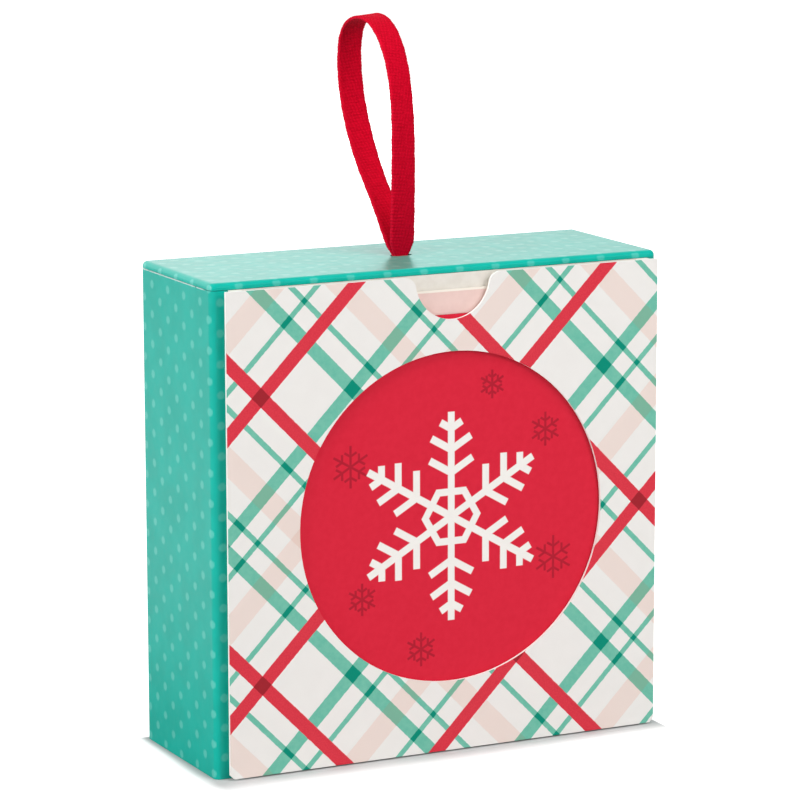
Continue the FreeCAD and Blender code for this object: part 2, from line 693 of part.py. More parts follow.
def build_pocket():
    """Pocket: back card, three spacer strips and the die-cut front panel."""
    depth = ("panel_back", "back_card_front")
    height = ("spacer_low", "rim_height")
    foot = ("spacer_low", "channel_low")
    return [
        plate("pocket_back_card", ("spacer_left", "spacer_right"), ("back_card_front", "front_y"), height),
        plate("pocket_spacer_left", ("spacer_left", "channel_left"), depth, height),
        plate("pocket_spacer_right", ("channel_right", "spacer_right"), depth, height),
        plate("pocket_spacer_bottom", ("channel_left", "channel_right"), depth, foot),
        front_panel(),
    ]


def build_drawer():
    """Drawer: wrapped lid, open-fronted tray and the ribbon's knot."""
    lid_board = lid_core("lid_board")
    ribbon_slot(lid_board)
    lining, _ = slotted_plate("lid_lining", ("-lining_half", "lining_half"), ("lining_front", "lining_back"),
                              ("lid_low", "lid_board_low"))
    ribbon_slot(lining)
    head, _ = slotted_plate("tray_head_wall", ("-tray_half", "tray_half"), ("tray_front", "tray_back"),
                            ("head_low", "lid_low"))
    ribbon_slot(head)
    side_y = ("tray_front", "tray_inner_back")
    heights = ("tray_low", "head_low")
    inner_x = ("-tray_inner_half", "tray_inner_half")
    return [
        lid_board,
        lid_wrap(),
        lining,
        head,
        plate("tray_back_board", ("-tray_half", "tray_half"), ("tray_inner_back", "tray_back"), heights),
        plate("tray_left_wall", ("-tray_half", "-tray_inner_half"), side_y, heights),
        plate("tray_right_wall", ("tray_inner_half", "tray_half"), side_y, heights),
        plate("tray_foot_wall", inner_x, side_y, ("tray_low", "tray_inner_low")),
        plate("tray_lining", inner_x, ("lining_face", "tray_inner_back"), ("tray_inner_low", "head_low")),
        ribbon_knot(),
    ]


def build_insert():
    """Insert: carrier card, tape and coloured front card."""
    front, _ = card("insert_front_card", "front_card_back", "front_card_front", "front_card_top")
    return [carrier_card(), insert_tape(), front]


def check(parts):
    """Every object is in order and every sub-part is one valid solid."""
    for item in doc.Objects:
        if "Invalid" in item.State or "Error" in item.State:
            raise RuntimeError("%s is in state %s" % (item.Label, item.State))
    for part in parts:
        shape = part.Shape
        if shape.isNull() or not shape.isValid() or len(shape.Solids) != 1:
            raise RuntimeError(part.Label + " is not one valid solid")


def export(parts):
    """One file per sub-part, named by its label."""
    os.makedirs("parts", exist_ok=True)
    for part in parts:
        part.Shape.exportStep("parts/%s.step" % part.Label)


fill_sheet()
sub_parts = build_sleeve() + build_pocket() + build_drawer() + build_insert() + [ribbon_loop()]
doc.recompute()
check(sub_parts)
export(sub_parts)
print(len(sub_parts), "sub-parts written")
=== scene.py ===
import math

import bmesh
import bpy
from mathutils import Matrix, Vector


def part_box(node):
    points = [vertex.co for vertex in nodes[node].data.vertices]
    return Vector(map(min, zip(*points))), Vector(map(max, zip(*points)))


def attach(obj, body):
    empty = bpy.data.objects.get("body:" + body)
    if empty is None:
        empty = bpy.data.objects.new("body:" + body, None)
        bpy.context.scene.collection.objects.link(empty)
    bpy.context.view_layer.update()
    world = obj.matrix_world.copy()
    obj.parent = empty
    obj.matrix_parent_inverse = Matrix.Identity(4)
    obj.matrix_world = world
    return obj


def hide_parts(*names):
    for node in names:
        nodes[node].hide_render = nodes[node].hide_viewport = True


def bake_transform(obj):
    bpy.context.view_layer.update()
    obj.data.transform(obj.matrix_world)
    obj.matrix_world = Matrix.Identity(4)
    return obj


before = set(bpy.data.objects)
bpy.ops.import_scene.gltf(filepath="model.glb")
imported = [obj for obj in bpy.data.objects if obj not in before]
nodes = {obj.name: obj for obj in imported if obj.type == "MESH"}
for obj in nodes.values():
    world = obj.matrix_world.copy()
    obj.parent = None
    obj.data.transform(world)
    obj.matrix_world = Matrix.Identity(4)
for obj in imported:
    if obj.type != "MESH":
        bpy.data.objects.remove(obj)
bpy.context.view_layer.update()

MM = 0.001
scene = bpy.context.scene
panel_low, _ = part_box("pocket_front_panel")
wrap_low, wrap_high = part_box("sleeve_wrap")
_, lid_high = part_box("lid_wrap")
head_low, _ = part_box("tray_head_wall")
_, carrier_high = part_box("insert_carrier_card")

# Ribbon route as (y from the slot, z) in millimetres: the solid's own points, led down into the slot at
# both ends. Other sizes below are in millimetres too, but for the camera, the lamps and the room.
SLOT_X = 0.1
SLOT_Y = 1.1
RIBBON_ROUTE = [
    (-0.36, 100.9), (-0.4, 102.8), (-0.9, 111.0), (-1.3, 121.5), (-1.0, 133.1), (1.9, 143.2), (8.3, 149.7),
    (15.9, 151.0), (23.1, 148.3), (25.0, 140.8), (22.6, 130.3), (16.1, 119.9), (7.8, 111.6), (0.4, 102.8),
    (0.36, 100.9),
]
# Turn of the tape about its own line in degrees, at shares of its length
RIBBON_TWIST = ((0.0, 0.0), (0.12, -3.0), (0.3, -9.0), (0.5, 5.0), (0.7, -5.0), (0.88, 2.0), (1.0, 0.0))
RIBBON_WIDTH = 5.7
RIBBON_THICK = 0.7
RIBBON_STEPS = 620
# Pitch of the tape's rows, which run across it, and of its steep ribs
ROW_PITCH = 0.7
RIB_PITCH = 0.75
# Width of the tape where it is drawn into the slot, how high above the lid that reaches, and its shift
PINCH_WIDTH = 3.2
PINCH_HEIGHT = 3.8
PINCH_SHIFT = -0.2

# Tied end of the ribbon, under the drawer's head wall
KNOT_DROP = 2.6
KNOT_SIZE = 1.05
KNOT_BENDS = 16
KNOT_STEPS = 150
KNOT_SIDES = 14
KNOT_HALF_WIDTH = 1.25
KNOT_HALF_THICK = 0.72
KNOT_HALF_PRINT = 2.4
TAIL_STEPS = 40
TAIL_SPREAD_STEPS = 22
TAIL_START_WIDTH = 2.4
TAIL_WIDTH_GAIN = 3.4

# Dots of the wrap: pitches, radius, and where their lattice starts on each face
DOT_PITCH_U = 8.25
DOT_PITCH_V = 6.24
DOT_RADIUS = 0.84
SIDE_START_U = 5.9
SIDE_START_V = 4.2
FRONT_START_U = -44.8
FRONT_START_V = 0.75
LID_START_V = 3.3
# Edge of the wrap's lap on the back, and how far the print is out there
LAP_X = -36.0
LAP_SHIFT_U = 2.7
LAP_SHIFT_V = 1.4

# Plaid: its repeat, stripes as (offset, width), and both directions as (share of x, share of z, start)
PLAID_REPEAT = 41.5
RED_STRIPE = (0.0, 2.87)
GREEN_STRIPES = ((14.45, 2.8), (-6.3, 1.15), (20.1, 1.15))
PINK_STRIPE = (27.7, 4.7)
PLAID_RISING = (0.7141, -0.7002, 84.48)
PLAID_FALLING = (0.71, 0.6959, -25.43)

# Middle of the window, and the ice crystals seen in it, the small ones as (x, z, size) from the middle
WINDOW_X = 2.0
WINDOW_Z = 49.9
SMALL_CRYSTALS = (
    (-23.0, 12.5, 4.4), (-20.5, -15.5, 3.4), (22.0, 16.5, 3.6),
    (24.0, -11.0, 4.6), (9.5, 27.0, 3.0), (-7.0, -27.5, 3.6),
)
SMALL_ARM_WIDTH = 0.5
SMALL_BRANCHES = ((0.5, 0.36),)
LARGE_SIZE = 22.0
LARGE_ARM_WIDTH = 1.55
LARGE_BRANCHES = ((0.42, 0.26), (0.64, 0.24), (0.84, 0.13))
HEXAGON_RADIUS = 5.2
HEXAGON_HALF_WIDTH = 0.75

# Bare margin along the top of the insert's carrier
BARE_MARGIN = 0.42

# Camera fitted to the photograph's edges
CAMERA_YAW = 26.3175
CAMERA_PITCH = 10.6574
CAMERA_ROLL = -0.1234
CAMERA_DISTANCE = 0.81069
CAMERA_LENS = 173.98
CAMERA_TARGET = Vector((-0.0001775, 0.0011, 0.0712902))

# Soft lamps as (name, place, target, size, watts, whether gloss mirrors it)
LAMPS = (
    ("key_softbox", (0.5, -0.92, 0.7), (0, 0, 0.05), (0.8, 0.6), 6.6, False),
    ("top_softbox", (0.0, -0.35, 1.1), (0, 0, 0.08), (0.6, 0.4), 4.2, False),
    ("left_softbox", (-0.95, -0.1, 0.55), (0, 0, 0.07), (0.7, 0.6), 7.8, True),
    ("back_softbox", (0.7, 1.0, 0.35), (0, 0, 0.06), (0.9, 0.7), 6.5, False),
)
# Light of the room on matt surfaces, and in gloss by depth and by side as (low, high, strength, strength)
ROOM_LIGHT = 0.22
ROOM_DEPTH = (-0.3, 0.8, 0.15, 1.15)
ROOM_SIDE = (0.38, 0.6, 1.0, 0.6)
FLOOR_GAP = 0.00005
FLOOR_HALF = 3.0


def srgb(r, g, b):
    """Linear colour of an sRGB triple from 0 to 255."""
    def channel(c):
        c = c / 255
        return c / 12.92 if c <= 0.04045 else ((c + 0.055) / 1.055) ** 2.4
    return (channel(r), channel(g), channel(b), 1.0)


class Graph:
    """Short way to build one node material."""

    def __init__(self, name, roughness=0.6, **sockets):
        self.material = bpy.data.materials.new(name)
        self.material.use_nodes = True
        self.tree = self.material.node_tree
        self.shader = self.tree.nodes["Principled BSDF"]
        self.shader.inputs["Roughness"].default_value = roughness
        for key, value in sockets.items():
            self.shader.inputs[key.replace("_", " ")].default_value = value
        coords = self.tree.nodes.new("ShaderNodeTexCoord")
        self.object = coords.outputs["Object"]
        self.normal = coords.outputs["Normal"]
        self.uv = coords.outputs["UV"]

    def put(self, socket, value):
        if isinstance(value, bpy.types.NodeSocket):
            self.tree.links.new(value, socket)
        else:
            socket.default_value = value

    def math(self, operation, a, b=0.0):
        node = self.tree.nodes.new("ShaderNodeMath")
        node.operation = operation
        for socket, value in zip(node.inputs, (a, b)):
            self.put(socket, value)
        return node.outputs[0]

    def add(self, a, b):
        return self.math("ADD", a, b)

    def sub(self, a, b):
        return self.math("SUBTRACT", a, b)

    def mul(self, a, b):
        return self.math("MULTIPLY", a, b)

    def split(self, vector):
        node = self.tree.nodes.new("ShaderNodeSeparateXYZ")
        self.put(node.inputs[0], vector)
        return node.outputs[0], node.outputs[1], node.outputs[2]

    def join(self, x, y, z):
        node = self.tree.nodes.new("ShaderNodeCombineXYZ")
        for socket, value in zip(node.inputs, (x, y, z)):
            self.put(socket, value)
        return node.outputs[0]

    def millimetres(self):
        node = self.tree.nodes.new("ShaderNodeVectorMath")
        node.operation = "SCALE"
        self.put(node.inputs[0], self.object)
        node.inputs["Scale"].default_value = 1000.0
        return node.outputs[0]

    def noise(self, vector, scale, detail=2.0, roughness=0.5):
        node = self.tree.nodes.new("ShaderNodeTexNoise")
        self.put(node.inputs["Vector"], vector)
        node.inputs["Scale"].default_value = scale
        node.inputs["Detail"].default_value = detail
        node.inputs["Roughness"].default_value = roughness
        return node.outputs["Fac"]

    def ramp(self, value, low, high, out_low=0.0, out_high=1.0):
        node = self.tree.nodes.new("ShaderNodeMapRange")
        node.interpolation_type = "SMOOTHSTEP"
        for socket, number in zip(node.inputs, (value, low, high, out_low, out_high)):
            self.put(socket, number)
        return node.outputs[0]

    def mix(self, factor, a, b):
        node = self.tree.nodes.new("ShaderNodeMix")
        node.data_type = "RGBA"
        self.put(node.inputs[0], factor)
        self.put(node.inputs[6], a)
        self.put(node.inputs[7], b)
        return node.outputs[2]

    def inside(self, distance, half, soft=0.05):
        """1 where a distance is under half a width, with a soft edge."""
        return self.ramp(distance, half - soft, half + soft, 1.0, 0.0)

    def repeat(self, value, place, period):
        """Distance from a repeated place."""
        return self.math("PINGPONG", self.sub(value, place), period / 2)

    def colour(self, value):
        self.put(self.shader.inputs["Base Color"], value)

    def rough(self, value):
        self.put(self.shader.inputs["Roughness"], value)

    def bump(self, height, distance, strength=1.0, before=None):
        node = self.tree.nodes.new("ShaderNodeBump")
        node.inputs["Strength"].default_value = strength
        node.inputs["Distance"].default_value = distance
        self.put(node.inputs["Height"], height)
        if before is not None:
            self.put(node.inputs["Normal"], before)
        self.put(self.shader.inputs["Normal"], node.outputs[0])
        return node.outputs[0]


def paper_grain(g, place, depth=0.00002):
    """Fine tooth of paper or card."""
    tooth = g.noise(place, 2.6, 4.0, 0.65)
    return g.bump(tooth, depth, 0.5)


def teal_wrap():
    """Satin laminated wrap with a staggered lattice of paler dots."""
    g = Graph("teal_dot_wrap", Specular_IOR_Level=0.15,
              Coat_Weight=1.0, Coat_IOR=1.26, Coat_Roughness=0.25)
    place = g.millimetres()
    x, y, z = g.split(place)
    nx, ny, nz = g.split(g.normal)
    on_side = g.math("GREATER_THAN", g.math("ABSOLUTE", nx), 0.7)
    on_top = g.math("GREATER_THAN", g.math("ABSOLUTE", nz), 0.7)
    # each face has its own lattice phase, as the wrap's folds cut the print
    side_u = g.sub(wrap_high.y / MM - SIDE_START_U, y)
    front_u = g.sub(x, FRONT_START_U)
    side_v = g.sub(lid_high.z / MM - SIDE_START_V, z)
    front_v = g.sub(lid_high.z / MM - FRONT_START_V, z)
    top_v = g.sub(lid_high.y / MM - LID_START_V, y)
    # the wrap's end laps over its start on the back, where the print doesn't meet
    on_back = g.mul(g.math("GREATER_THAN", ny, 0.7), g.math("LESS_THAN", z, wrap_high.z / MM))
    lap = g.mul(on_back, g.math("LESS_THAN", x, LAP_X))
    front_u = g.add(front_u, g.mul(lap, LAP_SHIFT_U))
    front_v = g.add(front_v, g.mul(lap, LAP_SHIFT_V))
    u = g.add(g.mul(side_u, on_side), g.mul(front_u, g.sub(1.0, on_side)))
    v = g.add(g.mul(side_v, on_side), g.mul(front_v, g.sub(1.0, on_side)))
    v = g.add(g.mul(top_v, on_top), g.mul(v, g.sub(1.0, on_top)))
    wobble = g.noise(place, 0.9, 1.0)
    distances = []
    for share in (0.0, 0.5):
        du = g.repeat(u, DOT_PITCH_U * share, DOT_PITCH_U)
        dv = g.repeat(v, DOT_PITCH_V * share, DOT_PITCH_V)
        distances.append(g.math("SQRT", g.add(g.mul(du, du), g.mul(dv, dv))))
    nearest = g.math("MINIMUM", distances[0], distances[1])
    dot = g.inside(g.add(nearest, g.mul(g.sub(wobble, 0.5), 0.3)), DOT_RADIUS, 0.28)
    tone = g.noise(place, 0.12, 3.0)
    base = g.mix(g.ramp(tone, 0.35, 0.65), srgb(0, 178, 161), srgb(0, 185, 168))
    strength = g.add(g.mul(on_side, 0.15), 0.3)
    base = g.mix(g.mul(dot, strength), base, srgb(128, 220, 208))
    # painted highlight: a pale, paper-coloured line along the sleeve's rim fold, in patches, least near the
    # front corners
    fold = g.ramp(z, wrap_high.z / MM - 0.26, wrap_high.z / MM - 0.14)
    fold = g.mul(fold, g.math("LESS_THAN", z, wrap_high.z / MM + 0.02))
    fold = g.mul(fold, g.ramp(y, wrap_low.y / MM + 2.2, wrap_low.y / MM + 4.5))
    rim_highlight_patches = g.ramp(g.noise(place, 0.35, 3.0), 0.3, 0.45)
    base = g.mix(g.mul(g.mul(fold, rim_highlight_patches), 0.8), base, srgb(226, 240, 236))
    cut = g.mul(on_back, g.inside(g.math("ABSOLUTE", g.sub(x, LAP_X)), 0.12))
    base = g.mix(g.mul(cut, 0.55), base, srgb(196, 232, 226))
    g.colour(base)
    g.rough(g.ramp(g.noise(place, 0.5, 3.0), 0.3, 0.7, 0.33, 0.4))
    ripple = g.bump(g.noise(place, 0.3, 2.0, 0.5), 0.00003, 0.1)
    g.bump(g.mul(on_back, g.ramp(x, LAP_X - 0.2, LAP_X + 0.2, 1.0, 0.0)), 0.00012, 1.0, ripple)
    return g.material


def stripes(g, along, brush):
    """Red, green and pink masks of one family of the plaid's stripes."""
    def band(offset, width):
        distance = g.repeat(along, offset, PLAID_REPEAT)
        return g.inside(g.add(distance, brush), width / 2, 0.07)
    wide, before, after = [band(*stripe) for stripe in GREEN_STRIPES]
    green = g.math("MAXIMUM", wide, g.math("MAXIMUM", before, after))
    return band(*RED_STRIPE), green, band(*PINK_STRIPE)


def plaid_line(g, x, z, direction):
    """Place across one family of the plaid's stripes."""
    share_x, share_z, start = direction
    return g.add(g.add(g.mul(x, share_x), g.mul(z, share_z)), start)


def plaid_card():
    """Printed diagonal plaid on the panel's face, white core on its cut edges."""
    g = Graph("plaid_card", Specular_IOR_Level=0.15)
    place = g.millimetres()
    x, _, z = g.split(place)
    _, ny, _ = g.split(g.normal)
    rising = plaid_line(g, x, z, PLAID_RISING)
    falling = plaid_line(g, x, z, PLAID_FALLING)
    brush = g.mul(g.sub(g.noise(place, 1.1, 3.0), 0.5), 0.22)
    red_1, green_1, pink_1 = stripes(g, rising, brush)
    red_2, green_2, pink_2 = stripes(g, falling, brush)
    mottle = g.noise(place, 0.8, 5.0, 0.7)
    paint = g.noise(place, 3.2, 4.0, 0.7)
    tone = g.mix(g.noise(place, 0.3, 2.0), srgb(244, 241, 237), srgb(248, 245, 241))
    pink = g.math("MAXIMUM", pink_1, pink_2)
    tone = g.mix(pink, tone, srgb(244, 227, 219))
    tone = g.mix(g.mul(pink_1, pink_2), tone, srgb(239, 213, 202))
    green = g.math("MAXIMUM", green_1, green_2)
    leaf = g.mix(g.ramp(mottle, 0.3, 0.7), srgb(109, 194, 171), srgb(124, 201, 178))
    tone = g.mix(green, tone, leaf)
    tone = g.mix(g.mul(g.mul(green, pink), 0.85), tone, srgb(130, 185, 159))
    tone = g.mix(g.mul(green_1, green_2), tone, srgb(0, 146, 122))
    red = g.math("MAXIMUM", red_1, red_2)
    brick = g.mix(g.ramp(paint, 0.3, 0.7), srgb(221, 53, 70), srgb(232, 63, 78))
    tone = g.mix(red, tone, brick)
    tone = g.mix(g.mul(red_1, red_2), tone, srgb(168, 38, 49))
    printed = g.math("GREATER_THAN", g.math("ABSOLUTE", ny), 0.6)
    facing = g.math("LESS_THAN", ny, 0.0)
    tone = g.mix(g.mul(printed, facing), srgb(249, 247, 243), tone)
    g.colour(tone)
    g.rough(g.ramp(mottle, 0.3, 0.7, 0.5, 0.6))
    paper_grain(g, place)
    return g.material


def card(name, colour_low, colour_high, edge, roughness=0.6, bare_from=None):
    """Printed card with a paler cut edge, and a bare margin along its top where one is given."""
    g = Graph(name, Specular_IOR_Level=0.2)
    place = g.millimetres()
    _, _, z = g.split(place)
    _, ny, _ = g.split(g.normal)
    tone = g.mix(g.ramp(g.noise(place, 0.5, 4.0, 0.6), 0.3, 0.7), colour_low, colour_high)
    face = g.math("GREATER_THAN", g.math("ABSOLUTE", ny), 0.6)
    if bare_from is not None:
        face = g.mul(face, g.ramp(z, bare_from - 0.06, bare_from + 0.06, 1.0, 0.0))
    g.colour(g.mix(face, edge, tone))
    g.rough(g.ramp(g.noise(place, 1.2, 3.0), 0.3, 0.7, roughness - 0.05, roughness + 0.05))
    paper_grain(g, place)
    return g.material


def crystal(g, x, z, size, width, branches):
    """Mask of a plain ice crystal: six arms with pairs of branches, given as (place, length) shares."""
    radius = g.math("SQRT", g.add(g.mul(x, x), g.mul(z, z)))
    angle = g.math("PINGPONG", g.math("ARCTAN2", x, z), math.pi / 6)
    along = g.mul(radius, g.math("COSINE", angle))
    across = g.mul(radius, g.math("SINE", angle))
    mask = g.mul(g.inside(across, width / 2, 0.1), g.inside(along, size, 0.1))
    lean = math.pi / 3
    for place, length in branches:
        start = g.sub(along, place * size)
        forward = g.add(g.mul(start, math.cos(lean)), g.mul(across, math.sin(lean)))
        aside = g.math("ABSOLUTE", g.sub(g.mul(start, math.sin(lean)), g.mul(across, math.cos(lean))))
        within = g.inside(g.math("ABSOLUTE", g.sub(forward, length * size / 2)), length * size / 2, 0.1)
        mask = g.math("MAXIMUM", mask, g.mul(g.inside(aside, width / 2, 0.1), within))
    return mask, along


def red_card():
    """Red printed card with plain ice crystals, one large in white and a few small ones in a darker red."""
    g = Graph("red_print_card", 0.5, Specular_IOR_Level=0.15)
    place = g.millimetres()
    x, _, z = g.split(place)
    _, ny, _ = g.split(g.normal)
    mottle = g.noise(place, 0.7, 5.0, 0.65)
    tone = g.mix(g.ramp(mottle, 0.3, 0.7), srgb(224, 36, 60), srgb(228, 40, 64))
    dark = None
    for dx, dz, size in SMALL_CRYSTALS:
        beside = g.sub(x, WINDOW_X + dx)
        above = g.sub(z, WINDOW_Z + dz)
        mask, _ = crystal(g, beside, above, size, SMALL_ARM_WIDTH, SMALL_BRANCHES)
        dark = mask if dark is None else g.math("MAXIMUM", dark, mask)
    tone = g.mix(g.mul(dark, 0.75), tone, srgb(168, 28, 47))
    beside = g.sub(x, WINDOW_X)
    above = g.sub(z, WINDOW_Z)
    white, along = crystal(g, beside, above, LARGE_SIZE, LARGE_ARM_WIDTH, LARGE_BRANCHES)
    hexagon = g.inside(g.math("ABSOLUTE", g.sub(along, HEXAGON_RADIUS)), HEXAGON_HALF_WIDTH, 0.1)
    tone = g.mix(g.math("MAXIMUM", white, hexagon), tone, srgb(252, 248, 243))
    # painted shade: the card's edges and back are dark red, standing for the shaded gap along its top edge
    face = g.math("LESS_THAN", ny, -0.6)
    g.colour(g.mix(face, srgb(157, 26, 44), tone))
    paper_grain(g, place)
    return g.material


def plain_paper(name, low, high, roughness=0.75):
    """Uncoated paper with faint fibres."""
    g = Graph(name, roughness)
    place = g.millimetres()
    x, y, z = g.split(place)
    drawn_out = g.join(g.mul(x, 0.4), g.mul(y, 0.4), g.mul(z, 1.6))
    fibres = g.noise(drawn_out, 1.4, 5.0, 0.7)
    g.colour(g.mix(g.ramp(fibres, 0.3, 0.7), low, high))
    paper_grain(g, place, 0.00003)
    return g.material


def greyboard():
    """Recycled board with dark and pale flecks."""
    g = Graph("greyboard", 0.85)
    place = g.millimetres()
    flecks = g.noise(place, 2.2, 6.0, 0.75)
    tone = g.mix(g.ramp(flecks, 0.3, 0.7), srgb(150, 146, 138), srgb(186, 182, 172))
    specks = g.ramp(g.noise(place, 4.5, 2.0), 0.68, 0.74)
    g.colour(g.mix(specks, tone, srgb(98, 94, 90)))
    paper_grain(g, place, 0.00006)
    return g.material


def ribbon_cloth():
    """Red twill tape: faint steep ribs and rows under fuzz, with painted shade in their grooves and painted
    sheen along the selvages; UV is in millimetres.
    """
    g = Graph("red_twill_tape", 0.85, Specular_IOR_Level=0.05, Sheen_Weight=0.1, Sheen_Roughness=0.5)
    g.shader.inputs["Sheen Tint"].default_value = (1.0, 0.2, 0.25, 1.0)
    u, v, _ = g.split(g.uv)
    flat = g.join(u, v, 0.0)
    drift = g.mul(g.sub(g.noise(flat, 0.6, 3.0), 0.5), 1.1)
    slant = g.add(g.sub(u, g.mul(v, 0.25)), g.mul(drift, 0.5))
    rib = g.math("SINE", g.mul(slant, 2 * math.pi / RIB_PITCH))
    rows = g.add(g.add(v, g.mul(u, 0.12)), g.mul(drift, 0.4))
    thread = g.math("SINE", g.mul(rows, 2 * math.pi / ROW_PITCH))
    fuzz = g.noise(flat, 2.6, 5.0, 0.75)
    clumps = g.noise(flat, 0.7, 3.0, 0.6)
    relief = g.add(g.add(g.mul(rib, 0.16), g.mul(thread, 0.14)), g.mul(g.mul(thread, rib), 0.08))
    # painted shade: darker in the weave's grooves and lighter on its ridges; fuzz and clumps add random
    # tone
    weave_shade_and_fuzz = g.add(g.add(relief, g.mul(g.sub(fuzz, 0.5), 2.4)), g.sub(clumps, 0.5))
    tone = g.mix(g.ramp(weave_shade_and_fuzz, -1.2, 1.2), srgb(170, 0, 22), srgb(230, 9, 47))
    # painted sheen: the colour is lighter along both selvages
    edge = g.ramp(g.math("ABSOLUTE", u), RIBBON_WIDTH / 2 - 0.5, RIBBON_WIDTH / 2 - 0.15)
    tone = g.mix(g.mul(edge, 0.5), tone, srgb(232, 22, 56))
    g.colour(tone)
    g.bump(g.add(relief, g.mul(fuzz, 1.2)), 0.00006, 0.8)
    return g.material


def route_points(name, points, count):
    """Evenly spaced points read from a smooth spline that has the given control points, in metres."""
    curve = bpy.data.curves.new(name, "CURVE")
    curve.dimensions = "3D"
    curve.resolution_u = 40
    spline = curve.splines.new("NURBS")
    spline.points.add(len(points) - 1)
    for target, point in zip(spline.points, points):
        target.co = (*point, 1.0)
    spline.order_u = 3
    spline.use_endpoint_u = True
    holder = bpy.data.objects.new(name, curve)
    scene.collection.objects.link(holder)
    bpy.context.view_layer.update()
    mesh = bpy.data.meshes.new_from_object(holder.evaluated_get(bpy.context.evaluated_depsgraph_get()))
    line = [vertex.co.copy() for vertex in mesh.vertices]
    bpy.data.objects.remove(holder)
    bpy.data.meshes.remove(mesh)
    lengths = [0.0]
    for first, second in zip(line, line[1:]):
        lengths.append(lengths[-1] + (second - first).length)
    even = []
    k = 0
    for i in range(count + 1):
        goal = lengths[-1] * i / count
        while k < len(line) - 2 and lengths[k + 1] < goal:
            k += 1
        share = (goal - lengths[k]) / max(lengths[k + 1] - lengths[k], 1e-12)
        even.append(line[k].lerp(line[k + 1], min(max(share, 0.0), 1.0)))
    return even, lengths[-1]


def tangents(points):
    """Unit directions along a line of points."""
    result = []
    for i in range(len(points)):
        first = points[max(i - 1, 0)]
        last = points[min(i + 1, len(points) - 1)]
        result.append((last - first).normalized())
    return result


def sweep(bm, uv, points, sides, sections):
    """Skins closed sections along a line. A section lists (across, up, u) in metres, u in millimetres."""
    headings = tangents(points)
    rings = []
    travelled = 0.0
    for i, (point, heading, side, section) in enumerate(zip(points, headings, sides, sections)):
        if i:
            travelled += (point - points[i - 1]).length / MM
        side = (side - heading * side.dot(heading)).normalized()
        up = side.cross(heading)
        ring = [(bm.verts.new(point + side * across + up * lift), u) for across, lift, u in section]
        rings.append((ring, travelled))
    for (ring_a, v_a), (ring_b, v_b) in zip(rings, rings[1:]):
        count = len(ring_a)
        for k in range(count):
            m = (k + 1) % count
            corners = [(ring_a[k], v_a), (ring_a[m], v_a), (ring_b[m], v_b), (ring_b[k], v_b)]
            face = bm.faces.new([vert for (vert, u), v in corners])
            face.smooth = True
            for loop, ((vert, u), v) in zip(face.loops, corners):
                loop[uv].uv = (u, v)
    for ring, v in (rings[0], rings[-1]):
        face = bm.faces.new([vert for vert, u in ring])
        for loop, (vert, u) in zip(face.loops, ring):
            loop[uv].uv = (u, v)


def tape_section(width, thick, travelled, cup=0.0):
    """Flat tape section with thick rounded selvages, which swells at each row along the tape."""
    wave = math.cos(2 * math.pi * travelled / ROW_PITCH)
    half = width / 2 + 0.05 * wave + 0.03 * math.sin(travelled * 2.9) + 0.03 * math.sin(travelled * 1.27)
    count = 12
    upper = []
    for k in range(count + 1):
        share = -1 + 2 * k / count
        across = half * share
        rounding = math.sqrt(max(0.0, 1 - max(0.0, (abs(share) - 0.86) / 0.14) ** 2))
        swell = 1.0 + (0.12 if abs(share) > 0.72 else 0.0) + 0.06 * wave
        lift = thick / 2 * swell * rounding
        upper.append((across, lift, share * RIBBON_WIDTH / 2, cup * share * share))
    ring = [(a * MM, (l + c) * MM, u) for a, l, u, c in upper]
    ring += [(a * MM, (-l + c) * MM, u) for a, l, u, c in reversed(upper[1:-1])]
    return ring


def finish_mesh(bm, name, material):
    """Object made from a bmesh, facing outwards."""
    bmesh.ops.remove_doubles(bm, verts=bm.verts, dist=1e-7)
    bmesh.ops.recalc_face_normals(bm, faces=bm.faces)
    mesh = bpy.data.meshes.new(name)
    bm.to_mesh(mesh)
    bm.free()
    mesh.materials.append(material)
    obj = bpy.data.objects.new(name, mesh)
    scene.collection.objects.link(obj)
    return obj


def twist_at(share):
    """Ribbon's twist in degrees at a share of its length, eased between the given places."""
    for (a, first), (b, second) in zip(RIBBON_TWIST, RIBBON_TWIST[1:]):
        if share <= b:
            t = (share - a) / (b - a)
            return first + (second - first) * t * t * (3 - 2 * t)
    return RIBBON_TWIST[-1][1]


def ribbon_loop(material):
    """Twill tape loop that springs up out of the lid's slot."""
    control = [(SLOT_X * MM, (SLOT_Y + y) * MM, z * MM) for y, z in RIBBON_ROUTE]
    points, length = route_points("ribbon_route", control, RIBBON_STEPS)
    bm = bmesh.new()
    uv = bm.loops.layers.uv.new("UVMap")
    sections = []
    sides = []
    travelled = 0.0
    for i, (point, heading) in enumerate(zip(points, tangents(points))):
        if i:
            travelled += (point - points[i - 1]).length / MM
        rise = (point.z - lid_high.z) / MM
        drawn = min(max(1 - rise / PINCH_HEIGHT, 0.0), 1.0)
        width = PINCH_WIDTH + (RIBBON_WIDTH - PINCH_WIDTH) * (1 - drawn * drawn)
        point.x += PINCH_SHIFT * MM * drawn
        sections.append(tape_section(width, RIBBON_THICK, travelled))
        turn = math.radians(twist_at(i / (len(points) - 1)))
        lean = Vector((0, -heading.z, heading.y))
        sides.append(Vector((1, 0, 0)) * math.cos(turn) + lean * math.sin(turn))
    sweep(bm, uv, points, sides, sections)
    loop = finish_mesh(bm, "ribbon_tape", material)
    return loop, points, length


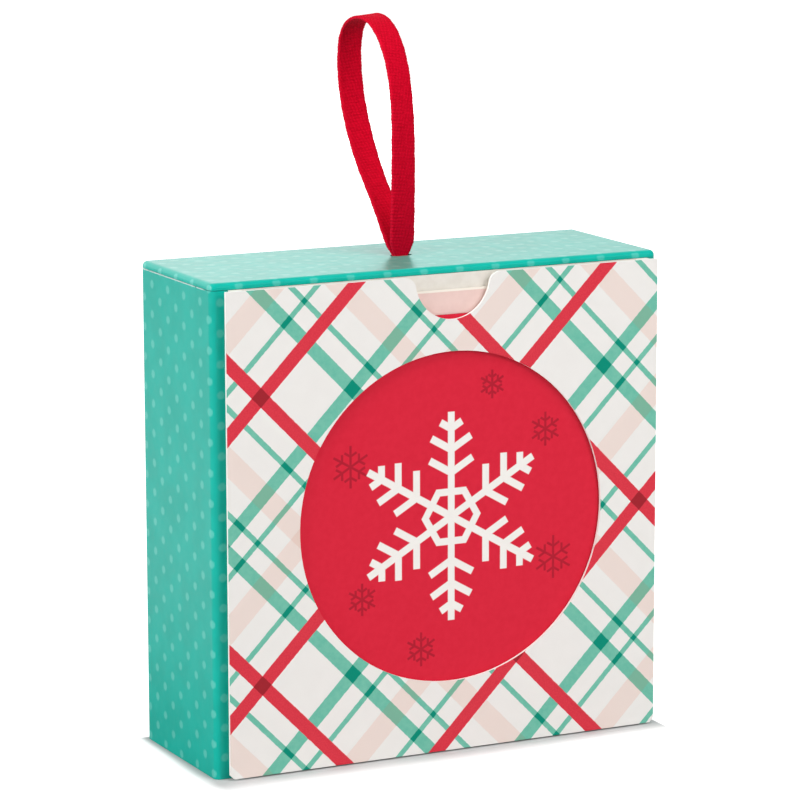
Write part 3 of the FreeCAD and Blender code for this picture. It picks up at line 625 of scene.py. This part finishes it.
def ribbon_knot(material):
    """Overhand knot and two free ends under the drawer's head wall, with a neck up into the slot."""
    bm = bmesh.new()
    uv = bm.loops.layers.uv.new("UVMap")
    middle = Vector((SLOT_X * MM, SLOT_Y * MM, head_low.z - KNOT_DROP * MM))
    control = [middle + Vector((0, 0, 4.2 * MM)), middle + Vector((0, -0.2 * MM, 2.4 * MM))]
    for k in range(KNOT_BENDS + 1):
        t = 0.35 + 5.6 * k / KNOT_BENDS
        across = math.sin(t) + 2 * math.sin(2 * t)
        deep = 0.78 * (math.cos(t) - 2 * math.cos(2 * t))
        bend = Vector((across, deep, -0.95 * math.sin(3 * t)))
        control.append(middle + bend * KNOT_SIZE * MM)
    control.append(middle + Vector((0.5 * MM, 0.2 * MM, -3.0 * MM)))
    points, _ = route_points("knot_route", [tuple(point) for point in control], KNOT_STEPS)
    ring = []
    for k in range(KNOT_SIDES):
        angle = 2 * math.pi * k / KNOT_SIDES
        across = KNOT_HALF_WIDTH * MM * math.cos(angle)
        lift = KNOT_HALF_THICK * MM * math.sin(angle)
        ring.append((across, lift, KNOT_HALF_PRINT * math.cos(angle)))
    side = Vector((0.3, 0.2, 1.0)).normalized()
    sweep(bm, uv, points, [side] * len(points), [ring] * len(points))
    for lean, depth in ((1.0, -0.8), (-1.0, 0.8)):
        foot = middle + Vector((0.4 * lean * MM, depth * MM, -1.2 * MM))
        tail = [
            foot,
            foot + Vector((0.8 * lean * MM, 0.1 * depth * MM, -2.6 * MM)),
            foot + Vector((1.8 * lean * MM, 0.5 * depth * MM, -4.8 * MM)),
            foot + Vector((2.3 * lean * MM, 0.3 * depth * MM, -7.2 * MM)),
        ]
        line, length = route_points("tail_route", [tuple(point) for point in tail], TAIL_STEPS)
        spread = []
        for i in range(len(line)):
            share = min(i / TAIL_SPREAD_STEPS, 1.0)
            width = TAIL_START_WIDTH + TAIL_WIDTH_GAIN * share * share * (3 - 2 * share)
            travelled = length / MM * i / TAIL_STEPS
            spread.append(tape_section(width, RIBBON_THICK, travelled, 0.5 * (1 - share)))
        sweep(bm, uv, line, [Vector((1, 0.25 * lean, 0))] * len(line), spread)
    return finish_mesh(bm, "ribbon_tied_end", material)


def soft_light(name, place, target, size, power, mirrored):
    """Large soft lamp aimed at a point, which gloss mirrors or not."""
    lamp = bpy.data.lights.new(name, "AREA")
    lamp.shape = "RECTANGLE"
    lamp.size, lamp.size_y = size
    lamp.energy = power
    obj = bpy.data.objects.new(name, lamp)
    obj.location = place
    obj.rotation_euler = (Vector(target) - Vector(place)).to_track_quat("-Z", "Y").to_euler()
    obj.visible_glossy = mirrored
    scene.collection.objects.link(obj)


def studio():
    """White world and floor, soft lamps."""
    world = bpy.data.worlds.new("studio")
    scene.world = world
    world.use_nodes = True
    tree = world.node_tree
    back = tree.nodes["Background"]
    back.inputs["Color"].default_value = (1, 1, 1, 1)
    path = tree.nodes.new("ShaderNodeLightPath")
    place = tree.nodes.new("ShaderNodeTexCoord")
    axes = tree.nodes.new("ShaderNodeSeparateXYZ")
    tree.links.new(place.outputs["Generated"], axes.inputs[0])
    # the room mirrors brightest behind and to the left, and is dim on the camera's side
    depth = tree.nodes.new("ShaderNodeMapRange")
    tree.links.new(axes.outputs["Y"], depth.inputs[0])
    for socket, number in zip(depth.inputs[1:5], ROOM_DEPTH):
        socket.default_value = number
    aside = tree.nodes.new("ShaderNodeMapRange")
    tree.links.new(axes.outputs["X"], aside.inputs[0])
    for socket, number in zip(aside.inputs[1:5], ROOM_SIDE):
        socket.default_value = number
    mirrored = tree.nodes.new("ShaderNodeMath")
    mirrored.operation = "MULTIPLY"
    tree.links.new(depth.outputs[0], mirrored.inputs[0])
    tree.links.new(aside.outputs[0], mirrored.inputs[1])
    glossy = tree.nodes.new("ShaderNodeMix")
    tree.links.new(path.outputs["Is Glossy Ray"], glossy.inputs[0])
    glossy.inputs[2].default_value = ROOM_LIGHT
    tree.links.new(mirrored.outputs[0], glossy.inputs[3])
    seen = tree.nodes.new("ShaderNodeMix")
    tree.links.new(path.outputs["Is Camera Ray"], seen.inputs[0])
    tree.links.new(glossy.outputs[0], seen.inputs[2])
    seen.inputs[3].default_value = 1.0
    tree.links.new(seen.outputs[0], back.inputs["Strength"])
    floor_mesh = bpy.data.meshes.new("floor")
    bm = bmesh.new()
    bmesh.ops.create_grid(bm, x_segments=1, y_segments=1, size=FLOOR_HALF)
    bm.to_mesh(floor_mesh)
    bm.free()
    floor = bpy.data.objects.new("floor", floor_mesh)
    floor.location.z = -FLOOR_GAP
    scene.collection.objects.link(floor)
    g = Graph("floor_white", 0.9, Specular_IOR_Level=0.0)
    g.shader.inputs["Emission Color"].default_value = (1, 1, 1, 1)
    path = g.tree.nodes.new("ShaderNodeLightPath")
    x, y, _ = g.split(g.object)
    beside = g.mul(g.math("MAXIMUM", g.sub(g.math("ABSOLUTE", x), wrap_high.x), 0.0), 2.2)
    middle = (panel_low.y + wrap_high.y) / 2
    behind = g.math("MAXIMUM", g.sub(g.math("ABSOLUTE", g.sub(y, middle)), wrap_high.y - middle), 0.0)
    away = g.math("SQRT", g.add(g.mul(beside, beside), g.mul(behind, behind)))
    # the camera sees it white but for a painted shadow at the object's foot, where the lift to white is
    # held back and the real shadow shows too, widest in front and on the left
    to_left = g.math("MAXIMUM", g.sub(wrap_low.x, x), 0.0)
    to_right = g.math("MAXIMUM", g.sub(x, wrap_high.x), 0.0)
    to_front = g.math("MAXIMUM", g.sub(panel_low.y, y), 0.0)
    to_back = g.math("MAXIMUM", g.sub(y, wrap_high.y), 0.0)
    left_fade = g.ramp(y, panel_low.y, wrap_high.y, 2.2, 4.2)
    front_fade = g.ramp(x, 0.0, wrap_high.x, 1.0, 1.4)
    sideways = g.add(g.mul(to_left, left_fade), g.mul(to_right, 12.0))
    outwards = g.add(g.mul(to_front, front_fade), g.mul(to_back, 10.0))
    near = g.math("SQRT", g.add(g.mul(sideways, sideways), g.mul(outwards, outwards)))
    lift = g.add(g.ramp(near, 0.0, 0.009, 0.03, 0.5), g.ramp(near, 0.001, 0.018, 0.0, 0.5))
    g.put(g.shader.inputs["Emission Strength"], g.mul(path.outputs["Is Camera Ray"], lift))
    pale = g.sub(0.6, g.mul(path.outputs["Is Camera Ray"], 0.08))
    # painted shade: its mirror image is darker near the object
    pale = g.sub(pale, g.mul(path.outputs["Is Glossy Ray"], g.ramp(away, 0.0, 0.2, 0.4, 0.0)))
    g.colour(g.join(pale, pale, pale))
    floor_mesh.materials.append(g.material)
    for lamp in LAMPS:
        soft_light(*lamp)


def photo_camera():
    """Camera at the photograph's viewing angle."""
    yaw = math.radians(CAMERA_YAW)
    pitch = math.radians(CAMERA_PITCH)
    roll = math.radians(CAMERA_ROLL)
    look = Vector((math.sin(yaw) * math.cos(pitch), math.cos(yaw) * math.cos(pitch), -math.sin(pitch)))
    right = Vector((math.cos(yaw), -math.sin(yaw), 0))
    up = right.cross(look)
    right, up = right * math.cos(roll) + up * math.sin(roll), up * math.cos(roll) - right * math.sin(roll)
    place = CAMERA_TARGET - look * CAMERA_DISTANCE
    data = bpy.data.cameras.new("photo_camera")
    data.lens = CAMERA_LENS
    data.sensor_width = 36.0
    data.clip_start = 0.01
    camera = bpy.data.objects.new("photo_camera", data)
    scene.collection.objects.link(camera)
    rotation = Matrix((right, up, -look)).transposed().to_4x4()
    camera.matrix_world = Matrix.Translation(place) @ rotation
    scene.camera = camera


def dress(material, *names):
    """Gives CAD nodes a material."""
    for name in names:
        slots = nodes[name].data.materials
        slots.clear()
        slots.append(material)


scene.view_settings.view_transform = "Standard"
photo_camera()
studio()

dress(teal_wrap(), "sleeve_wrap", "sleeve_base_sheet", "lid_wrap")
dress(plaid_card(), "pocket_front_panel")
dress(card("cream_card", srgb(233, 227, 217), srgb(239, 234, 225), srgb(245, 240, 230)),
      "pocket_back_card", "pocket_spacer_left", "pocket_spacer_right", "pocket_spacer_bottom")
dress(card("pink_card", srgb(243, 210, 202), srgb(247, 215, 207), srgb(255, 246, 234),
           bare_from=carrier_high.z / MM - BARE_MARGIN), "insert_carrier_card")
dress(red_card(), "insert_front_card")
dress(plain_paper("clear_tape", srgb(225, 222, 212), srgb(232, 229, 220), 0.4), "insert_tape")
dress(plain_paper("white_lining", srgb(236, 233, 226), srgb(243, 240, 234)),
      "sleeve_liner", "lid_lining", "tray_lining", "tray_head_wall", "tray_back_board", "tray_left_wall",
      "tray_right_wall", "tray_foot_wall")
dress(greyboard(), "sleeve_bottom_board", "sleeve_front_board", "sleeve_back_board", "sleeve_left_board",
      "sleeve_right_board", "lid_board")

cloth = ribbon_cloth()
tied = ribbon_knot(cloth)
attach(tied, "drawer")
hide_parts("ribbon_knot")
loop, loop_points, loop_length = ribbon_loop(cloth)
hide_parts("ribbon_loop")
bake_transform(loop)
